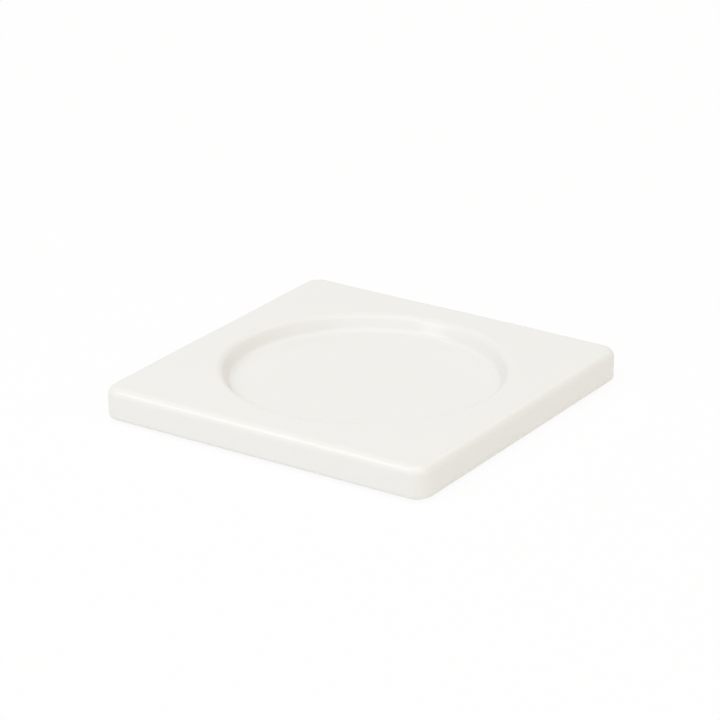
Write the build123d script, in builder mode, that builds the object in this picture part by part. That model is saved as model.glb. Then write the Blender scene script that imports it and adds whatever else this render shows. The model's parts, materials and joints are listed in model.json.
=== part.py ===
"""Candle plate: a square glazed ceramic slab with a round seat for a pillar candle.

The slab stands on four self-adhesive felt pads. The origin is the middle of the surface
that the pads rest on, +Z is up and -Y is the front.
"""

import os
from math import acos, cos, degrees, radians, sin

from build123d import *

# Plate, measured over its glaze, in millimetres
PLATE_SIDE = 100.0  # square, seen from above
PLATE_HEIGHT = 9.2  # bare base to glazed top face
CORNER_RADIUS = 4.8  # the four upright corners
TOP_EDGE_RADIUS = 2.4  # from the sides over to the top face
BASE_EDGE_RADIUS = 2.0  # from the sides under to the base

# Candle seat, the round hollow in the top face
CANDLE_DIAMETER = 70.0  # the pillar candle that the seat takes
CANDLE_FOOT_RADIUS = 2.0  # rounding of the candle's foot
CANDLE_CLEARANCE = 1.8  # all round the flat of the candle's foot
SEAT_DEPTH = 4.2  # top face to floor
SEAT_WALL_SLOPE = 60.0  # degrees from the floor
SEAT_LIP_RADIUS = 2.5  # from the top face down into the wall
SEAT_FILLET_RADIUS = 2.0  # from the wall into the floor

# Glaze
GLAZE_THICKNESS = 0.3
GLAZE_LINE_HEIGHT = 0.6  # bare clay between the base and the lower edge of the glaze

# Felt pads
PAD_DIAMETER = 12.0
PAD_INSET = 12.0  # side of the plate to the middle of a pad
FELT_THICKNESS = 0.3
ADHESIVE_THICKNESS = 0.1
ADHESIVE_MARGIN = 0.4  # felt left bare round the adhesive

# Heights of the faces above the surface that the plate stands on
BASE_Z = FELT_THICKNESS + ADHESIVE_THICKNESS
TOP_Z = BASE_Z + PLATE_HEIGHT
FLOOR_Z = TOP_Z - SEAT_DEPTH

CORNERS = {
    "front_left": (-1, -1),
    "front_right": (1, -1),
    "back_left": (-1, 1),
    "back_right": (1, 1),
}


def shape_slab(skin):
    """Adds the slab without its seat, with its glazed faces set back by skin from the glaze."""
    side = PLATE_SIDE - 2 * skin
    foot_z = BASE_Z - GLAZE_THICKNESS + skin
    with BuildSketch(Plane.XY.offset(foot_z)) as outline:
        RectangleRounded(side, side, CORNER_RADIUS - skin)
    extrude(outline.sketch, amount=TOP_Z - skin - foot_z)
    fillet(edges().group_by(Axis.Z)[-1], TOP_EDGE_RADIUS - skin)
    fillet(edges().group_by(Axis.Z)[0], BASE_EDGE_RADIUS - skin)


def sink_seat(skin):
    """Cuts the seat: its floor curves up into a sloping wall, which curves over into the top face."""
    floor_radius = CANDLE_DIAMETER / 2 - CANDLE_FOOT_RADIUS + CANDLE_CLEARANCE
    both_radii = SEAT_LIP_RADIUS + SEAT_FILLET_RADIUS
    curves_alone = degrees(acos(max(1 - SEAT_DEPTH / both_radii, -1)))
    slope = min(SEAT_WALL_SLOPE, curves_alone)
    wall = (SEAT_DEPTH - both_radii * (1 - cos(radians(slope)))) / sin(radians(slope))
    with BuildSketch(Plane.XZ) as profile:
        with BuildLine():
            floor = Line((0, FLOOR_Z - skin), (floor_radius, FLOOR_Z - skin))
            rise = JernArc(floor @ 1, (1, 0), SEAT_FILLET_RADIUS + skin, slope)
            lip_foot = rise @ 1 + (rise % 1) * wall
            if slope < curves_alone:
                Line(rise @ 1, lip_foot)
            lip = JernArc(lip_foot, rise % 1, SEAT_LIP_RADIUS - skin, -slope)
            Polyline(lip @ 1, lip @ 1 + (0, SEAT_DEPTH), (0, TOP_Z + SEAT_DEPTH), floor @ 0)
        make_face()
    revolve(profile.sketch, axis=Axis.Z, mode=Mode.SUBTRACT)


def finish(piece, name):
    """Labels a finished piece and writes it."""
    piece.part.label = name
    export_step(piece.part, f"parts/{name}.step")


os.makedirs("parts", exist_ok=True)

with BuildPart() as clay_body:
    shape_slab(GLAZE_THICKNESS)
    sink_seat(GLAZE_THICKNESS)
finish(clay_body, "clay_body")

with BuildPart() as glaze_coat:
    shape_slab(0)
    sink_seat(0)
    split(bisect_by=Plane.XY.offset(BASE_Z + GLAZE_LINE_HEIGHT), keep=Keep.TOP)
    add(clay_body.part, mode=Mode.SUBTRACT)
finish(glaze_coat, "glaze_coat")

pad_reach = PLATE_SIDE / 2 - PAD_INSET
for corner, (across, along) in CORNERS.items():
    pad_centre = (across * pad_reach, along * pad_reach)

    with BuildPart() as felt_pad:
        with BuildSketch(Plane.XY):
            with Locations(pad_centre):
                Circle(PAD_DIAMETER / 2)
        extrude(amount=FELT_THICKNESS)
    finish(felt_pad, f"felt_pad_{corner}")

    with BuildPart() as pad_adhesive:
        with BuildSketch(Plane.XY.offset(FELT_THICKNESS)):
            with Locations(pad_centre):
                Circle(PAD_DIAMETER / 2 - ADHESIVE_MARGIN)
        extrude(amount=ADHESIVE_THICKNESS)
    finish(pad_adhesive, f"pad_adhesive_{corner}")
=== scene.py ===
"""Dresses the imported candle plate: white glaze over fired clay, on four felt dots."""

import json
import math

import bpy
from bpy.props import FloatProperty, FloatVectorProperty, PointerProperty
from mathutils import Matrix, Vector, noise


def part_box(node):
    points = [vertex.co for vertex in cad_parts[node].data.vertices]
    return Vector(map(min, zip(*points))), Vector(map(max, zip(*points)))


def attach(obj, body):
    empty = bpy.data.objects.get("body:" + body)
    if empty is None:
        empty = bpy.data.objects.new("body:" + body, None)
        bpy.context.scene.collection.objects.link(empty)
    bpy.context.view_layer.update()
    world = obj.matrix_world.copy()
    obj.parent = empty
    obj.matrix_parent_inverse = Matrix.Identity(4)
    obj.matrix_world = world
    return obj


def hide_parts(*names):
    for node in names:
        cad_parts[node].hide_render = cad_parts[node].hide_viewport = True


bl_info = {
    "name": "Candle Plate",
    "version": (1, 0, 0),
    "blender": (4, 5, 0),
    "location": "View3D > Sidebar > Candle Plate",
    "description": "Builds a glazed ceramic candle plate on felt dots, and its studio stage",
    "category": "Object",
}

MM = 0.001
ROOT = "root"
CORNERS = ("front_left", "front_right", "back_left", "back_right")

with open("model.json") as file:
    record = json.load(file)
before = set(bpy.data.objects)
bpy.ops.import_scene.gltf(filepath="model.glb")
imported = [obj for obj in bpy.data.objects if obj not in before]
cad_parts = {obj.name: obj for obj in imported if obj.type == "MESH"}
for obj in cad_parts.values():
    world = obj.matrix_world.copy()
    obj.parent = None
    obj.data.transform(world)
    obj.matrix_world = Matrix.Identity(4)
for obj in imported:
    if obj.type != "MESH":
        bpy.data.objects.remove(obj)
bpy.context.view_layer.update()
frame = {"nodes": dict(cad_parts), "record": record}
CLAY_LOW, CLAY_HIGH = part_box("clay_body")
GLAZE_LOW, GLAZE_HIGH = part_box("glaze_coat")
GLAZE_THICKNESS = GLAZE_HIGH.x - CLAY_HIGH.x
SEAT = next(m for m in frame["record"]["mounts"] if m["name"] == "candle_seat")
SEAT_FLOOR_Z = SEAT["pos_m"][2]


# Settings


def length(name, default, description):
    """A length in metres that a user may change."""
    return FloatProperty(
        name=name, description=description, default=default, min=0.0,
        subtype="DISTANCE", unit="LENGTH", precision=5,
    )


def colour(name, default, description):
    """A linear colour that a user may change."""
    return FloatVectorProperty(
        name=name, description=description, default=default, size=3,
        min=0.0, max=1.0, subtype="COLOR",
    )


def share(name, default, description):
    """A number from 0 to 1 that a user may change."""
    return FloatProperty(
        name=name, description=description, default=default, min=0.0, max=1.0, subtype="FACTOR",
    )


def turn(name, default, description):
    """An angle, given in degrees, that a user may change."""
    return FloatProperty(
        name=name, description=description, default=math.radians(default),
        subtype="ANGLE", unit="ROTATION",
    )


def power(name, default, description):
    """A lamp's power in watts that a user may change."""
    return FloatProperty(name=name, description=description, default=default, min=0.0, unit="POWER")


def strength(name, default, description):
    """A strength of the room's light that a user may change."""
    return FloatProperty(name=name, description=description, default=default, min=0.0)


def direction(name, default, description):
    """A direction in the plate's own frame that a user may change."""
    return FloatVectorProperty(
        name=name, description=description, default=default, size=3, subtype="DIRECTION",
    )


class PlateShape(bpy.types.PropertyGroup):
    """The form of the glazed slab, as it comes out of the kiln"""

    corner_radius: length("Corner Radius", 4.8 * MM, "Radius of the four upright corners")
    top_edge_radius: length("Top Edge Radius", 2.4 * MM, "Rounding from the sides over to the top face")
    base_edge_radius: length("Base Edge Radius", 2.0 * MM, "Rounding from the sides under to the base")
    seat_floor_radius: length("Seat Floor Radius", 34.8 * MM, "Radius of the flat floor of the candle seat")
    wall_slope: turn("Seat Wall Slope", 60.0, "Slope of the seat's wall, from its floor")
    lip_radius: length("Seat Lip Radius", 2.5 * MM, "Rounding from the top face down into the seat")
    fillet_radius: length("Seat Fillet Radius", 2.0 * MM, "Rounding from the seat's wall into its floor")
    wobble: length("Hand Wobble", 0.12 * MM, "How far the pressed clay strays from its mould")
    wobble_span: length("Wobble Span", 38.0 * MM, "Distance from one swell of the wobble to the next")


class GlazeLook(bpy.types.PropertyGroup):
    """The colour and surface of the white glaze"""

    body_colour: colour("Glaze", (0.868, 0.860, 0.835), "Colour of the glaze at its full thickness")
    thin_colour: colour("Thin Glaze", (0.864, 0.854, 0.825), "Colour where the glaze runs thin")
    pooled_colour: colour("Pooled Glaze", (0.868, 0.865, 0.845), "Colour where the glaze pools")
    roughness: share("Roughness", 0.16, "Roughness of the fired glaze")
    ripple: length("Ripple", 0.010 * MM, "Height of the glaze's soft ripples")
    peel: length("Orange Peel", 0.0012 * MM, "Height of the fine pebbling of the glaze")
    pinhole: length("Pinhole Depth", 0.02 * MM, "Depth of the few pinholes in the glaze")


class ClayLook(bpy.types.PropertyGroup):
    """The colour and surface of the bare fired clay"""

    body_colour: colour("Clay", (0.72, 0.672, 0.588), "Colour of the bare fired clay")
    dark_colour: colour("Dark Clay", (0.56, 0.50, 0.415), "Colour of the grit in the clay")
    pale_colour: colour("Wiped Glaze", (0.80, 0.775, 0.715), "Colour of the glaze left after wiping")
    roughness: share("Roughness", 0.82, "Roughness of the bare clay")
    grain: length("Grain", 0.05 * MM, "Height of the grain of the clay")


class FeltLook(bpy.types.PropertyGroup):
    """The felt dots and the film that holds them"""

    felt_colour: colour("Felt", (0.60, 0.57, 0.51), "Colour of the felt")
    fibre_colour: colour("Fibres", (0.76, 0.735, 0.68), "Colour of the felt's palest fibres")
    film_colour: colour("Adhesive", (0.74, 0.70, 0.60), "Colour of the adhesive film")
    nap: length("Nap", 0.03 * MM, "Height of the felt's nap")


class StageLook(bpy.types.PropertyGroup):
    """The camera, the lamps and the white table"""

    azimuth: turn("Azimuth", 33.30, "Camera turned round the plate from its front")
    elevation: turn("Elevation", 22.02, "Camera's height above the table, as an angle")
    distance: length("Distance", 926.2 * MM, "Camera to the point that it looks at")
    look_at: FloatVectorProperty(
        name="Look At", description="Point that the camera looks at", size=3,
        default=(-16.37 * MM, 22.69 * MM, 0.0), subtype="XYZ", unit="LENGTH",
    )
    focal_length: FloatProperty(
        name="Focal Length", description="Focal length of the lens on a 36 mm sensor",
        default=168.5, min=1.0, unit="CAMERA",
    )
    top_from: direction("Overhead From", (0.161, -0.374, 0.914), "Where the overhead softbox shines from")
    top_size: length("Overhead Size", 1.0, "Side of the overhead softbox")
    top_power: power("Overhead Power", 2.34, "Power of the overhead softbox")
    top_colour: colour("Overhead Colour", (0.82, 0.91, 1.0), "Colour of the overhead softbox")
    side_from: direction("Side From", (-0.430, -0.577, 0.695), "Where the side softbox shines from")
    side_size: length("Side Size", 0.52, "Side of the side softbox")
    side_power: power("Side Power", 1.36, "Power of the side softbox")
    side_colour: colour("Side Colour", (1.0, 1.0, 1.0), "Colour of the side softbox")
    back_from: direction("Back From", (0.143, 0.692, 0.707), "Where the back softbox shines from")
    back_size: length("Back Size", 0.44, "Side of the back softbox")
    back_power: power("Back Power", 0.28, "Power of the back softbox")
    back_colour: colour("Back Colour", (1.0, 1.0, 1.0), "Colour of the back softbox")
    fill_from: direction("Fill From", (0.936, -0.077, 0.342), "Where the fill softbox shines from")
    fill_size: length("Fill Size", 0.5, "Side of the fill softbox")
    fill_power: power("Fill Power", 0.57, "Power of the fill softbox")
    fill_colour: colour("Fill Colour", (1.0, 0.72, 0.36), "Colour of the fill softbox")
    lamp_distance: length("Lamp Distance", 1.1, "Softboxes to the plate")
    room_light: strength("Room Light", 0.545, "Strength of the light of the room")
    room_colour: colour("Room Colour", (1.0, 0.92, 0.79), "Colour of the light of the room")
    front_light: strength("Front Light", 0.93, "Strength of the light of the room's bright front")
    front_from: direction("Front From", (0.157, -0.475, 0.866), "Direction of the room's bright front")
    front_core: turn("Front Core", 10.0, "Angle from its middle to which the bright front is even")
    front_reach: turn("Front Reach", 85.0, "Angle from its middle at which the bright front ends")
    table_colour: colour("Table", (0.92, 0.92, 0.92), "Colour of the white table")
    table_lift: share("Table Lift", 0.93, "How far the picture shows the table as plain white paper")
    table_size: length("Table Size", 6.0, "Side of the table")


class CandlePlateSettings(bpy.types.PropertyGroup):
    """Everything that a user may change on the candle plate"""

    shape: PointerProperty(type=PlateShape, name="Shape", description="Form of the slab")
    glaze: PointerProperty(type=GlazeLook, name="Glaze", description="White glaze")
    clay: PointerProperty(type=ClayLook, name="Clay", description="Bare fired clay")
    felt: PointerProperty(type=FeltLook, name="Felt", description="Felt dots")
    stage: PointerProperty(type=StageLook, name="Stage", description="Camera, lamps and table")


# Shapes

# Steps round the plate, and along each stretch from the seat's middle over the top and under to the base
SIDE_STEPS = 48
CORNER_STEPS = 16
FLOOR_STEPS = 24
ARC_STEPS = 18
WALL_STEPS = 8
TOP_STEPS = 12
FALL_STEPS = 8
UNDER_STEPS = 12
BASE_STEPS = 24
BEAD_STEPS = 6

# Depth of the glaze, which is -1 where it is thinnest, 0 where it is even and 1 where it pools
GLAZE_DEPTH = "glaze_depth"
FLOOR_POOL = 0.3  # at the edge of the seat's floor
FILLET_POOL = 0.7  # added half way up the fillet
LIP_THINNING = 0.8  # half way over the lip

WOBBLE_FADE = 3 * MM  # height above the base over which the wobble sets in
# Where the plate lies in the noises that sway it along X, Y and Z
WOBBLE_STARTS = (Vector((3.1, 7.7, 1.9)), Vector((12.3, 4.6, 8.8)), Vector((6.5, 15.2, 11.7)))

# Felt dots
DOT_STEPS = 96  # round a dot
DOT_FLAT_STEPS = 14  # from its middle to its soft edge
DOT_EDGE_STEPS = 10  # over its soft edge
DOT_SOFTNESS = 0.45  # depth of the soft edge, as a share of the felt's thickness
NAP_SPAN = 0.5 * MM  # from one tuft of the nap to the next
NAP_EDGE_POWER = 8  # how closely the sideways nap keeps to the cut edge


def along(steps):
    """Shares of a run from just after 0 up to 1."""
    return [(step + 1) / steps for step in range(steps)]


def seat_profile(shape, skin):
    """(radius, height, depth of glaze) from the seat's middle to where its lip meets the top face."""
    floor_r, floor_z, top_z = shape.seat_floor_radius, SEAT_FLOOR_Z - skin, GLAZE_HIGH.z - skin
    rise, lip = shape.fillet_radius + skin, shape.lip_radius - skin
    both = shape.fillet_radius + shape.lip_radius
    slope = shape.wall_slope
    wall_z = top_z - floor_z - both * (1 - math.cos(slope))
    wall_r = wall_z / math.tan(slope)
    lip_r = floor_r + both * math.sin(slope) + wall_r
    floor = [(floor_r * t, floor_z, FLOOR_POOL * t * t) for t in along(FLOOR_STEPS)]
    fillet, over = [], []
    for t in along(ARC_STEPS):
        a = slope * t
        pooled = FLOOR_POOL * (1 - t) + FILLET_POOL * math.sin(math.pi * t)
        fillet.append((floor_r + rise * math.sin(a), floor_z + rise * (1 - math.cos(a)), pooled))
        a = slope * (1 - t)
        thinned = -LIP_THINNING * math.sin(math.pi * t)
        over.append((lip_r - lip * math.sin(a), top_z - lip * (1 - math.cos(a)), thinned))
    foot_r, foot_z, level = fillet[-1]
    wall = [(foot_r + wall_r * t, foot_z + wall_z * t, level) for t in along(WALL_STEPS)]
    return floor + fillet + wall + over


def edge_profile(shape, skin, stop_z):
    """(distance in from the side, height, depth of glaze) over the top edge, down and under to stop_z."""
    top, base = shape.top_edge_radius, shape.base_edge_radius
    high_z = GLAZE_HIGH.z - top
    knee_z = CLAY_LOW.z - GLAZE_THICKNESS + base
    over = []
    for t in [0.0] + along(ARC_STEPS):
        a = math.pi / 2 * t
        inset = top - (top - skin) * math.sin(a)
        over.append((inset, high_z + (top - skin) * math.cos(a), -math.sin(math.pi * t)))
    side = [(skin, high_z + (knee_z - high_z) * t, 0.0) for t in along(FALL_STEPS)]
    last = math.asin(min((knee_z - stop_z) / (base - skin), 1))
    under = []
    for t in along(UNDER_STEPS):
        a = last * t
        inset = base - (base - skin) * math.cos(a)
        under.append((inset, knee_z - (base - skin) * math.sin(a), t * t))
    return over + side + under


def plate_columns(corner_radius):
    """Points round the plate, a corner radius in from its side, each with the way straight out."""
    half = GLAZE_HIGH.x - corner_radius
    columns = []
    for quarter in range(4):
        start = math.radians(90 * quarter)
        ahead = Vector((-math.sin(start), math.cos(start)))
        out = Vector((math.cos(start), math.sin(start)))
        for step in range(SIDE_STEPS):
            columns.append((out * half + ahead * half * (2 * step / SIDE_STEPS - 1), out))
        knee = out * half + ahead * half
        for step in range(CORNER_STEPS):
            angle = math.radians(90 * step / CORNER_STEPS)
            columns.append((knee, out * math.cos(angle) + ahead * math.sin(angle)))
    return columns


def wobbled(point, shape):
    """A point moved as the pressed clay strays from its mould, and not at all at the flat base."""
    lift = min(max((point.z - CLAY_LOW.z) / WOBBLE_FADE, 0), 1)
    sway = Vector([noise.noise(point / shape.wobble_span + start) for start in WOBBLE_STARTS])
    return point + sway * shape.wobble * lift * lift * (3 - 2 * lift)


def skin_rings(shape, skin, stop_z):
    """Rings of (points, depth of glaze) from the seat's middle to stop_z, skin below the surface."""
    columns = plate_columns(shape.corner_radius)
    ways = [(at + out * shape.corner_radius).normalized() for at, out in columns]
    seat = [
        ([Vector((*(way * r), z)) for way in ways], depth)
        for r, z, depth in seat_profile(shape, skin)
    ]
    edge = [
        ([Vector((*(at + out * (shape.corner_radius - inset)), z)) for at, out in columns], depth)
        for inset, z, depth in edge_profile(shape, skin, stop_z)
    ]
    lip, brink = seat[-1][0], edge[0][0]
    top = [([a.lerp(b, t) for a, b in zip(lip, brink)], 0.0) for t in along(TOP_STEPS)[:-1]]
    return seat + top + edge


def loft(name, first_pole, rings, last_pole):
    """A closed mesh through rings of equal count, shut by a fan at each pole."""
    count = len(rings[0])
    points = [first_pole] + [p for ring in rings for p in ring] + [last_pole]
    last = len(points) - 1
    faces = []
    for here in range(count):
        there = (here + 1) % count
        faces.append((0, 1 + here, 1 + there))
        for row in range(len(rings) - 1):
            low, high = 1 + row * count, 1 + (row + 1) * count
            faces.append((low + here, high + here, high + there, low + there))
        low = 1 + (len(rings) - 1) * count
        faces.append((low + there, low + here, last))
    mesh = bpy.data.meshes.new(name)
    mesh.from_pydata([tuple(p) for p in points], [], faces)
    if mesh.validate():
        raise RuntimeError(f"{name} has broken faces")
    mesh.shade_smooth()
    return mesh


def place(name, mesh, material, slot, *nodes):
    """Puts a finished mesh in the scene as a piece that stands for CAD nodes."""
    piece = bpy.data.objects.new(name, mesh)
    bpy.context.scene.collection.objects.link(piece)
    mesh.materials.append(material)
    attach(piece, ROOT)
    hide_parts(*nodes)
    return piece


# Materials

NOISE_LOW, NOISE_HIGH = 0.3, 0.7  # nearly all of a noise lies between these


class Nodes:
    """A node tree under construction, with short words for its nodes."""

    def __init__(self, tree):
        self.tree = tree

    def node(self, kind, inputs=(), **settings):
        """A new node, with its settings made and then its inputs set or linked."""
        made = self.tree.nodes.new(kind)
        for key, value in settings.items():
            setattr(made, key, value)
        for key, value in dict(inputs).items():
            self.put(value, made.inputs[key])
        return made

    def put(self, value, socket):
        """Links a socket to another one, or sets it to a plain value."""
        if isinstance(value, bpy.types.NodeSocket):
            self.tree.links.new(value, socket)
        else:
            socket.default_value = value

    def reckon(self, operation, a, b):
        """What an operation makes of two numbers."""
        return self.node("ShaderNodeMath", {0: a, 1: b}, operation=operation).outputs[0]

    def spread(self, value, low, high, to_low=0.0, to_high=1.0):
        """A value eased from to_low, where it is low, over to to_high, where it is high."""
        inputs = {"Value": value, "From Min": low, "From Max": high, "To Min": to_low, "To Max": to_high}
        return self.node("ShaderNodeMapRange", inputs, interpolation_type="SMOOTHSTEP").outputs["Result"]

    def mix(self, factor, a, b):
        """A colour on the way from a to b."""
        mixer = self.node("ShaderNodeMix", {"Factor": factor}, data_type="RGBA")
        for name, value in (("A", a), ("B", b)):
            socket = next(s for s in mixer.inputs if s.name == name and s.type == "RGBA")
            self.put(value if isinstance(value, bpy.types.NodeSocket) else (*value, 1.0), socket)
        return next(s for s in mixer.outputs if s.type == "RGBA")

    def seen_rays(self):
        """1 on rays that show the stage, in the picture or in a reflection, and 0 on rays that light."""
        path = self.node("ShaderNodeLightPath")
        seen = path.outputs["Is Camera Ray"]
        for name in ("Is Glossy Ray", "Is Transmission Ray"):
            seen = self.reckon("MAXIMUM", seen, path.outputs[name])
        return seen


class Finish(Nodes):
    """A material under construction, whose textures lie fast on the piece."""

    def __init__(self, name):
        self.material = bpy.data.materials.new(name)
        self.material.use_nodes = True
        super().__init__(self.material.node_tree)
        self.shader = self.tree.nodes["Principled BSDF"]
        self.spot = self.node("ShaderNodeTexCoord").outputs["Object"]

    def dress(self, **sockets):
        """Sets or links the shader's own sockets, named with _ for a space."""
        for name, value in sockets.items():
            self.put(value, self.shader.inputs[name.replace("_", " ")])

    def stretched(self, scale):
        """The spot on the piece, with its three axes scaled."""
        return self.node("ShaderNodeMapping", {"Vector": self.spot, "Scale": scale}).outputs["Vector"]

    def noise(self, span, detail=3.0, roughness=0.5, at=None):
        """Cloudy values from 0 to 1 whose swells lie about span apart."""
        inputs = {"Vector": at or self.spot, "Scale": 1 / span, "Detail": detail, "Roughness": roughness}
        return self.node("ShaderNodeTexNoise", inputs).outputs["Fac"]

    def clouds(self, span, most, detail=3.0):
        """Soft clouds about span apart, from 0 up to most."""
        return self.spread(self.noise(span, detail), NOISE_LOW, NOISE_HIGH, 0.0, most)

    def spots(self, span, size, kept):
        """1 at the middle of small round spots about span apart, of which a share is kept, else 0."""
        cells = self.node("ShaderNodeTexVoronoi", {"Vector": self.spot, "Scale": 1 / span})
        near = self.spread(cells.outputs["Distance"], 0.0, size / span, 1.0, 0.0)
        pick = self.node("ShaderNodeSeparateColor", {"Color": cells.outputs["Color"]}).outputs["Red"]
        return self.reckon("MULTIPLY", near, self.reckon("LESS_THAN", pick, kept))

    def bump(self, height, distance, under=None):
        """The surface raised by a height from 0 to 1 times a distance, over any bumps under it."""
        inputs = {"Height": height, "Distance": distance, "Strength": 1.0}
        if under is not None:
            inputs["Normal"] = under
        return self.node("ShaderNodeBump", inputs).outputs["Normal"]


def glaze_finish(look):
    """White glaze: even and glossy, thin over the edges, pooled in the hollows, with a few pinholes."""
    finish = Finish("white_glaze")
    depth = finish.node("ShaderNodeAttribute", attribute_name=GLAZE_DEPTH).outputs["Fac"]
    clouds = finish.clouds(span=24 * MM, most=0.35, detail=4)
    pooled = finish.spread(depth, low=0.0, high=1.0)
    thinned = finish.spread(depth, low=-1.0, high=0.0, to_low=0.8, to_high=0.0)
    pits = finish.spots(span=11 * MM, size=0.16 * MM, kept=0.3)
    pit_tint = finish.reckon("MULTIPLY", pits, 0.35)
    tint = finish.mix(clouds, look.body_colour, look.pooled_colour)
    tint = finish.mix(pooled, tint, look.pooled_colour)
    tint = finish.mix(thinned, tint, look.thin_colour)
    tint = finish.mix(pit_tint, tint, look.thin_colour)
    smear = finish.noise(span=9 * MM)
    glossiest, dullest = look.roughness * 0.85, look.roughness * 1.25
    gloss = finish.spread(smear, low=0.3, high=0.75, to_low=glossiest, to_high=dullest)
    unpitted = finish.spread(pits, low=0.0, high=1.0, to_low=1.0, to_high=0.0)
    relief = finish.bump(finish.noise(span=8 * MM, detail=2), look.ripple)
    relief = finish.bump(finish.noise(span=0.9 * MM, detail=2), look.peel, relief)
    relief = finish.bump(unpitted, look.pinhole, relief)
    finish.dress(Base_Color=tint, Roughness=gloss, Normal=relief, IOR=1.52)
    return finish.material


def clay_finish(look):
    """Bare stoneware: pale buff with grit, glaze wiped into its pores and the drag marks of the sponge."""
    finish = Finish("fired_clay")
    clouds = finish.clouds(span=14 * MM, most=0.5, detail=4)
    drag_way = finish.stretched((0.08, 1.0, 1.0))
    drag = finish.noise(span=1.1 * MM, detail=4, roughness=0.6, at=drag_way)
    wiped = finish.spread(drag, low=0.5, high=0.8, to_low=0.0, to_high=0.5)
    grit = finish.spots(span=1.3 * MM, size=0.22 * MM, kept=0.4)
    tint = finish.mix(clouds, look.body_colour, look.pale_colour)
    tint = finish.mix(wiped, tint, look.pale_colour)
    tint = finish.mix(grit, tint, look.dark_colour)
    relief = finish.bump(finish.noise(span=0.35 * MM, detail=4, roughness=0.6), look.grain)
    relief = finish.bump(drag, look.grain * 0.6, relief)
    smoothest = look.roughness - 0.12
    dull = finish.spread(clouds, low=0.0, high=0.5, to_low=look.roughness, to_high=smoothest)
    finish.dress(Base_Color=tint, Roughness=dull, Normal=relief)
    return finish.material


def felt_finish(look):
    """Pressed felt: crossed fibres, paler where they lie on top, with a dry sheen."""
    finish = Finish("felt")
    fibre_span = 0.22 * MM
    lengthwise, crosswise = finish.stretched((0.25, 1.0, 1.0)), finish.stretched((1.0, 0.3, 1.0))
    lying = finish.noise(fibre_span, detail=4, roughness=0.6, at=lengthwise)
    crossing = finish.noise(fibre_span, detail=4, roughness=0.6, at=crosswise)
    fibres = finish.reckon("MAXIMUM", lying, crossing)
    topmost = finish.spread(fibres, low=0.48, high=0.72)
    tint = finish.mix(topmost, look.felt_colour, look.fibre_colour)
    tint = finish.mix(finish.clouds(span=2.5 * MM, most=0.3), tint, look.felt_colour)
    finish.dress(Base_Color=tint, Roughness=0.95, Normal=finish.bump(fibres, look.nap))
    finish.dress(Sheen_Weight=0.35, Sheen_Roughness=0.5)
    return finish.material


def adhesive_finish(look):
    """Adhesive film: cream and half glossy, clouded where it has wetted the clay."""
    finish = Finish("adhesive_film")
    cloud = finish.noise(span=1.5 * MM)
    pale = [min(1.0, c * 1.1) for c in look.film_colour]
    tint = finish.mix(finish.spread(cloud, NOISE_LOW, NOISE_HIGH), look.film_colour, pale)
    gloss = finish.spread(cloud, NOISE_LOW, NOISE_HIGH, to_low=0.35, to_high=0.55)
    relief = finish.bump(cloud, 0.01 * MM)
    finish.dress(Base_Color=tint, Roughness=gloss, Normal=relief)
    return finish.material


# Operators, one for each piece or group of like pieces, and one for the stage


class CANDLEPLATE_OT_clay_body(bpy.types.Operator):
    """Builds the fired clay slab, which shows bare at the foot and the base"""

    bl_idname = "candle_plate.clay_body"
    bl_label = "Clay Body"

    def execute(self, context):
        settings = context.scene.candle_plate
        shape = settings.shape
        rings = [ring for ring, depth in skin_rings(shape, GLAZE_THICKNESS, CLAY_LOW.z)]
        foot, middle = rings[-1], Vector((0, 0, CLAY_LOW.z))
        rings += [[p.lerp(middle, t) for p in foot] for t in along(BASE_STEPS)[:-1]]
        rings = [[wobbled(p, shape) for p in ring] for ring in rings]
        seat_middle = wobbled(Vector((0, 0, SEAT_FLOOR_Z - GLAZE_THICKNESS)), shape)
        mesh = loft("fired_clay_slab", seat_middle, rings, middle)
        place("fired_clay_slab", mesh, clay_finish(settings.clay), "fired_clay", "clay_body")
        return {"FINISHED"}


class CANDLEPLATE_OT_glaze_coat(bpy.types.Operator):
    """Builds the glaze over the seat, the top face and the sides, down to its rolled lower edge"""

    bl_idname = "candle_plate.glaze_coat"
    bl_label = "Glaze Coat"

    def execute(self, context):
        settings = context.scene.candle_plate
        shape = settings.shape
        roll = GLAZE_THICKNESS / 2
        outside = skin_rings(shape, 0.0, GLAZE_LOW.z + roll)
        inside = skin_rings(shape, GLAZE_THICKNESS, GLAZE_LOW.z + roll)
        outer, inner = outside[-1][0], inside[-1][0]
        bead = [(self.rolled(outer, inner, math.pi * t, roll), 1.0) for t in along(BEAD_STEPS)[:-1]]
        layers = outside + bead + inside[::-1]
        rings = [[wobbled(p, shape) for p in ring] for ring, depth in layers]
        poles = [wobbled(Vector((0, 0, SEAT_FLOOR_Z - skin)), shape) for skin in (0.0, GLAZE_THICKNESS)]
        mesh = loft("white_glaze_coat", poles[0], rings, poles[1])
        depths = [0.0] + [depth for ring, depth in layers for p in ring] + [0.0]
        mesh.attributes.new(GLAZE_DEPTH, "FLOAT", "POINT").data.foreach_set("value", depths)
        place("white_glaze_coat", mesh, glaze_finish(settings.glaze), "white_glaze", "glaze_coat")
        return {"FINISHED"}

    def rolled(self, outer, inner, angle, roll):
        """One ring of the bead that closes the glaze from its outer skin round to its inner one."""
        share_in = (1 - math.cos(angle)) / 2
        drop = Vector((0, 0, roll * math.sin(angle)))
        return [a.lerp(b, share_in) - drop for a, b in zip(outer, inner)]


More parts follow.
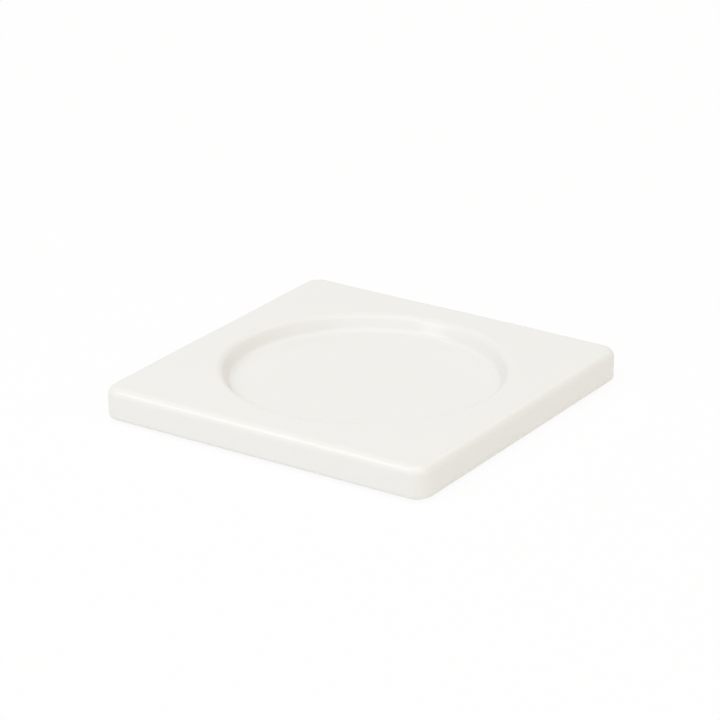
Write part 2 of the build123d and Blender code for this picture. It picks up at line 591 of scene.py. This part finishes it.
class CANDLEPLATE_OT_felt_dots(bpy.types.Operator):
    """Builds the four felt dots under the corners, with soft cut edges and an uneven nap"""

    bl_idname = "candle_plate.felt_dots"
    bl_label = "Felt Dots"

    def execute(self, context):
        look = context.scene.candle_plate.felt
        material = felt_finish(look)
        for corner in CORNERS:
            name = f"felt_dot_{corner}"
            low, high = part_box(f"felt_pad_{corner}")
            mesh = self.dot(name, low, high, look.nap)
            piece = place(name, mesh, material, "felt", f"felt_pad_{corner}")
        return {"FINISHED"}

    def dot(self, name, low, high, nap):
        """A disc of felt: flat where it is stuck, rounded at its cut edge and napped underneath."""
        middle = (low + high) / 2
        radius, thick = (high.x - low.x) / 2, high.z - low.z
        soft = thick * DOT_SOFTNESS
        flat = radius - soft
        profile = [(flat * t, high.z) for t in along(DOT_FLAT_STEPS)]
        for t in along(DOT_EDGE_STEPS):
            a = math.pi * t
            profile.append((flat + soft * math.sin(a), middle.z + thick / 2 * math.cos(a)))
        profile += [(flat * (1 - t), low.z) for t in along(DOT_FLAT_STEPS)[:-1]]
        turns = [math.tau * step / DOT_STEPS for step in range(DOT_STEPS)]
        ways = [Vector((math.cos(a), math.sin(a), 0)) for a in turns]
        rings = []
        for r, z in profile:
            nap_up = Vector((0, 0, nap * (high.z - z) / thick))
            nap_in = nap * (r / radius) ** NAP_EDGE_POWER
            ring = []
            for way in ways:
                point = middle + way * r
                point.z = z
                rough = 0.5 + 0.5 * noise.noise(point / NAP_SPAN)
                ring.append(point + (nap_up - way * nap_in) * rough)
            rings.append(ring)
        top, bottom = Vector((middle.x, middle.y, high.z)), Vector((middle.x, middle.y, low.z))
        return loft(name, top, rings, bottom)


class CANDLEPLATE_OT_adhesive_discs(bpy.types.Operator):
    """Finishes the adhesive discs that hold the felt dots to the base"""

    bl_idname = "candle_plate.adhesive_discs"
    bl_label = "Adhesive Discs"

    def execute(self, context):
        material = adhesive_finish(context.scene.candle_plate.felt)
        for corner in CORNERS:
            disc = frame["nodes"][f"pad_adhesive_{corner}"]
            disc.data.materials.clear()
            disc.data.materials.append(material)
        return {"FINISHED"}


class CANDLEPLATE_OT_stage(bpy.types.Operator):
    """Builds the white table, the lamps, the room and the camera"""

    bl_idname = "candle_plate.stage"
    bl_label = "Stage"

    SENSOR_WIDTH = 36.0  # millimetres

    def execute(self, context):
        stage = context.scene.candle_plate.stage
        self.lay_table(stage)
        for side in ("top", "side", "back", "fill"):
            self.hang_lamp(stage, side)
        self.light_room(stage)
        self.set_camera(stage)
        context.scene.view_settings.view_transform = "Standard"
        return {"FINISHED"}

    def lay_table(self, stage):
        """A white table that keeps the plate's shadow, and shows nearly as plain paper in the picture."""
        half = stage.table_size / 2
        mesh = bpy.data.meshes.new("table")
        corners = [(-half, -half, 0), (half, -half, 0), (half, half, 0), (-half, half, 0)]
        mesh.from_pydata(corners, [], [(0, 1, 2, 3)])
        table = bpy.data.objects.new("table", mesh)
        bpy.context.scene.collection.objects.link(table)
        finish = Finish("white_table")
        finish.tree.nodes.remove(finish.shader)
        paint = finish.node("ShaderNodeBsdfDiffuse", {"Color": (*stage.table_colour, 1.0)})
        paper = finish.node("ShaderNodeEmission", {"Strength": 1.0})
        lift = finish.reckon("MULTIPLY", finish.seen_rays(), stage.table_lift)
        both = finish.node("ShaderNodeMixShader", {0: lift, 1: paint.outputs[0], 2: paper.outputs[0]})
        finish.put(both.outputs[0], finish.tree.nodes["Material Output"].inputs["Surface"])
        mesh.materials.append(finish.material)

    def hang_lamp(self, stage, side):
        """A square softbox that faces the plate, from the settings whose names start with side."""
        name = f"{side}_softbox"
        lamp = bpy.data.lights.new(name, "AREA")
        lamp.shape = "SQUARE"
        lamp.size = getattr(stage, f"{side}_size")
        lamp.energy = getattr(stage, f"{side}_power")
        lamp.color = getattr(stage, f"{side}_colour")
        way = Vector(getattr(stage, f"{side}_from")).normalized()
        hung = bpy.data.objects.new(name, lamp)
        hung.location = way * stage.lamp_distance
        hung.rotation_euler = way.to_track_quat("Z", "Y").to_euler()
        bpy.context.scene.collection.objects.link(hung)

    def light_room(self, stage):
        """Soft light from a room with a bright front, which shows as plain white in the picture."""
        world = bpy.data.worlds.new("studio")
        world.use_nodes = True
        nodes = Nodes(world.node_tree)
        inputs = {
            0: nodes.node("ShaderNodeTexCoord").outputs["Generated"],
            1: Vector(stage.front_from).normalized(),
        }
        lean = nodes.node("ShaderNodeVectorMath", inputs, operation="DOT_PRODUCT").outputs["Value"]
        near = nodes.spread(lean, math.cos(stage.front_reach), math.cos(stage.front_core))
        room = [stage.room_light * c for c in stage.room_colour]
        front = [stage.front_light] * 3
        lit = nodes.mix(near, room, front)
        shown = nodes.mix(nodes.seen_rays(), lit, (1.0, 1.0, 1.0))
        nodes.put(shown, nodes.tree.nodes["Background"].inputs["Color"])
        bpy.context.scene.world = world

    def set_camera(self, stage):
        """A camera turned and raised about the point that it looks at."""
        camera = bpy.data.cameras.new("camera")
        camera.lens = stage.focal_length
        camera.sensor_width = self.SENSOR_WIDTH
        across, up = math.cos(stage.elevation), math.sin(stage.elevation)
        back = Vector((math.sin(stage.azimuth) * across, -math.cos(stage.azimuth) * across, up))
        eye = bpy.data.objects.new("camera", camera)
        eye.location = Vector(stage.look_at) + back * stage.distance
        eye.rotation_euler = back.to_track_quat("Z", "Y").to_euler()
        bpy.context.scene.collection.objects.link(eye)
        bpy.context.scene.camera = eye


class CANDLEPLATE_PT_sidebar(bpy.types.Panel):
    """Lists what can be changed, and the steps that then build the plate"""

    bl_idname = "CANDLEPLATE_PT_sidebar"
    bl_label = "Candle Plate"
    bl_space_type = "VIEW_3D"
    bl_region_type = "UI"
    bl_category = "Candle Plate"

    def draw(self, context):
        settings = context.scene.candle_plate
        for group in ("shape", "glaze", "clay", "felt", "stage"):
            box = self.layout.box()
            box.label(text=group.capitalize())
            part = getattr(settings, group)
            for name in part.__annotations__:
                box.prop(part, name)
        for step in STEPS:
            self.layout.operator(step.bl_idname)


STEPS = (
    CANDLEPLATE_OT_clay_body,
    CANDLEPLATE_OT_glaze_coat,
    CANDLEPLATE_OT_felt_dots,
    CANDLEPLATE_OT_adhesive_discs,
    CANDLEPLATE_OT_stage,
)
CLASSES = (
    PlateShape, GlazeLook, ClayLook, FeltLook, StageLook, CandlePlateSettings,
    *STEPS, CANDLEPLATE_PT_sidebar,
)


def register():
    for each in CLASSES:
        bpy.utils.register_class(each)
    bpy.types.Scene.candle_plate = PointerProperty(type=CandlePlateSettings)


def unregister():
    del bpy.types.Scene.candle_plate
    for each in reversed(CLASSES):
        bpy.utils.unregister_class(each)


def main():
    register()
    bpy.ops.candle_plate.clay_body()
    bpy.ops.candle_plate.glaze_coat()
    bpy.ops.candle_plate.felt_dots()
    bpy.ops.candle_plate.adhesive_discs()
    bpy.ops.candle_plate.stage()


if __name__ == "__main__":
    main()
